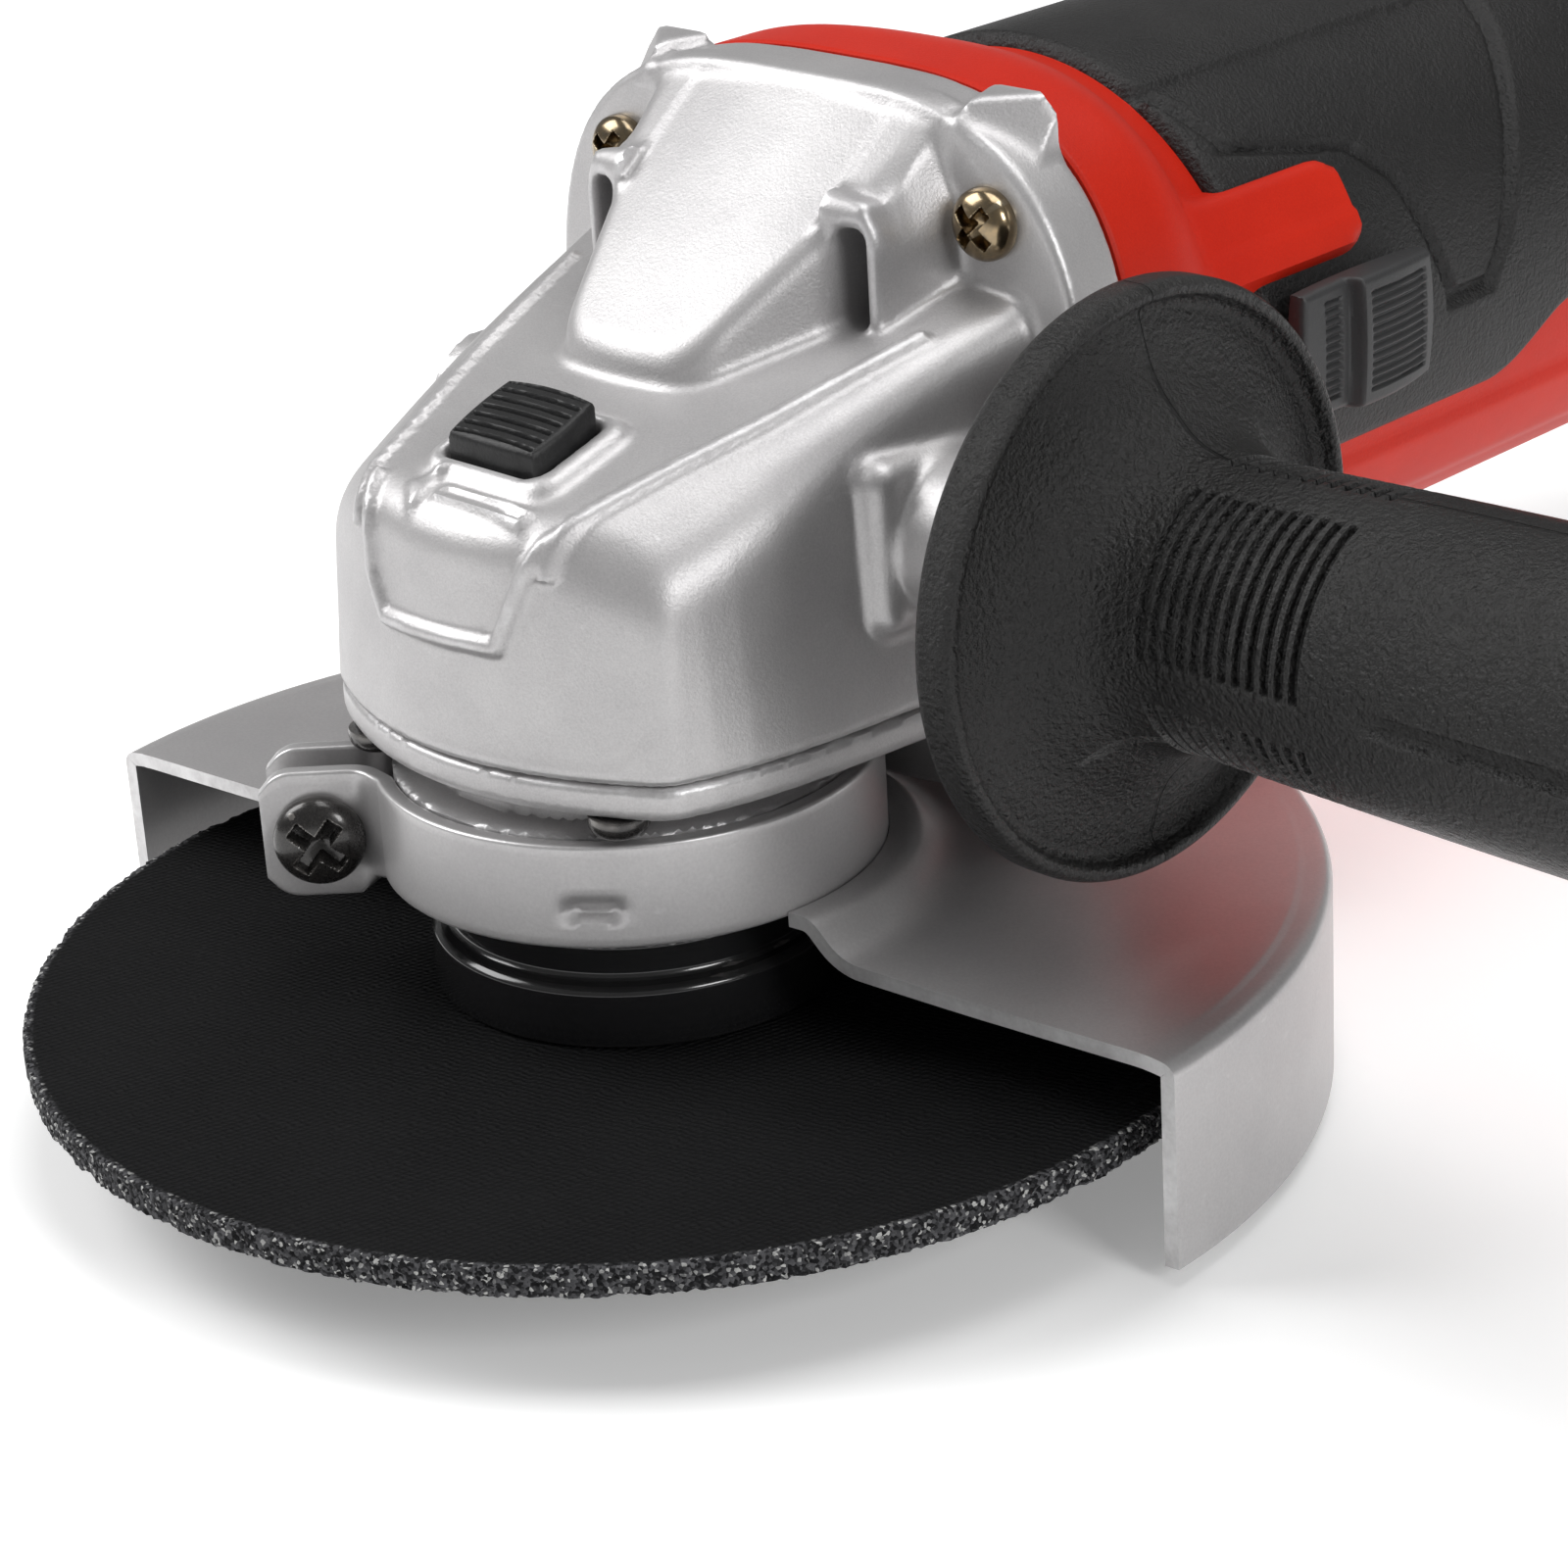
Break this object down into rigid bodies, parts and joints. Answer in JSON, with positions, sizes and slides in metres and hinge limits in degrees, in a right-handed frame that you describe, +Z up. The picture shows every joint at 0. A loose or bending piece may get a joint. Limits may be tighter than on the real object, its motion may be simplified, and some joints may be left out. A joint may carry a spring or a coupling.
{
  "type": "angle grinder",
  "caption": "Corded angle grinder with a die-cast gear head, flanged side handle, clamped half guard, spindle lock and slide switch, built as its working pieces.",
  "frame": {"origin": "on the spindle axis, at the face of the inner flange that the grinding disc rests against", "axes": "+Z up the spindle into the gear head, +Y back along the motor, +X towards the side handle"},
  "size_m": [0.241, 0.2835, 0.098],
  "materials": {
    "cast_aluminium": "fine silver lacquer over die-cast aluminium, satin",
    "guard_steel": "silver-grey lacquer over pressed sheet steel, satin",
    "black_screw": "black zinc, semi-gloss",
    "bronze_screw": "dark yellow zinc plating, glossy",
    "bright_steel": "ground and turned steel",
    "gear_steel": "hardened and oiled gear steel",
    "core_steel": "stack of varnished electrical sheet",
    "black_oxide": "gloss black",
    "abrasive": "resin-bonded abrasive with a glass-fibre net, rough",
    "red_plastic": "fine spark-eroded texture, satin",
    "black_plastic": "fine moulded texture",
    "black_grip": "grained moulded grip, satin",
    "rubber": "matt",
    "bronze": "sintered and stamped, satin",
    "felt": "pressed felt",
    "copper": "enamelled copper, glossy",
    "carbon": "pressed carbon, matt",
    "capacitor_film": "glossy dipped film"
  },
  "bodies": {
    "housing": {"gear_housing": "cast_aluminium", "bearing_cover": "cast_aluminium", "cover_screws": "black_screw", "head_screws": "bronze_screw", "spindle_bearing_outer": "bright_steel", "spindle_bush": "bronze", "felt_seal": "felt", "motor_housing": "red_plastic", "grip_overlay": "black_grip", "air_baffle": "black_plastic", "bearing_retainer": "bright_steel", "front_bearing_outer": "bright_steel", "rear_bearing_outer": "bright_steel", "rear_bearing_boot": "rubber", "stator_core": "core_steel", "stator_coils": "copper", "stator_screws": "bright_steel", "brush_holders": "bronze", "carbon_brushes": "carbon", "brush_spring_left": "bright_steel", "brush_spring_right": "bright_steel", "switch_block": "black_plastic", "capacitor": "capacitor_film", "rear_cover": "black_plastic", "rear_cover_screws": "black_screw", "cable_gland": "rubber", "cord_clamp": "black_plastic"},
    "spindle": {"spindle": "bright_steel", "inner_flange": "black_oxide", "grinding_disc": "abrasive", "disc_center_ring": "bright_steel", "clamping_nut": "black_oxide", "crown_gear": "gear_steel", "gear_circlip": "black_oxide", "spindle_bearing_inner": "bright_steel", "spindle_bearing_balls": "bright_steel"},
    "armature": {"armature_shaft": "bright_steel", "pinion": "gear_steel", "pinion_nut": "bright_steel", "front_bearing_inner": "bright_steel", "front_bearing_balls": "bright_steel", "rear_bearing_inner": "bright_steel", "rear_bearing_balls": "bright_steel", "cooling_fan": "black_plastic", "armature_core": "core_steel", "armature_windings": "copper", "commutator": "copper"},
    "spindle_lock": {"lock_button": "black_plastic", "lock_pin": "bright_steel", "lock_spring": "bright_steel"},
    "guard": {"guard_shell": "guard_steel", "guard_collar": "guard_steel", "guard_clamp_screw": "black_screw", "guard_clamp_nut": "bright_steel"},
    "side_handle": {"side_handle_grip": "black_grip", "side_handle_stud": "bright_steel"},
    "switch": {"switch_slider": "black_plastic", "switch_rod": "bright_steel"}
  },
  "joints": [
    {"name": "spindle_spin", "type": "hinge", "parent": "housing", "child": "spindle", "pos_m": [0, 0, 0], "axis": [0, 0, 1], "continuous": true},
    {"name": "armature_spin", "type": "hinge", "parent": "housing", "child": "armature", "pos_m": [0, 0, 0.0485], "axis": [0, 1, 0], "continuous": true},
    {"name": "spindle_lock_press", "type": "slide", "parent": "housing", "child": "spindle_lock", "axis": [0, 0, -1], "range_m": [0, 0.005], "stiffness_N_per_m": 600, "springref_m": -0.004, "deforming": ["lock_spring"]},
    {"name": "guard_turn", "type": "hinge", "parent": "housing", "child": "guard", "pos_m": [0, 0, 0.018], "axis": [0, 0, 1], "range_deg": [-60, 90]},
    {"name": "side_handle_turn", "type": "hinge", "parent": "housing", "child": "side_handle", "pos_m": [0.036, 0.016, 0.0475], "axis": [1, 0, 0], "continuous": true},
    {"name": "switch_slide", "type": "slide", "parent": "housing", "child": "switch", "axis": [0, -1, 0], "range_m": [0, 0.007]}
  ],
  "couplings": [
    {"joint": "armature_spin", "follows": "spindle_spin", "ratio": 3.3636}
  ]
}
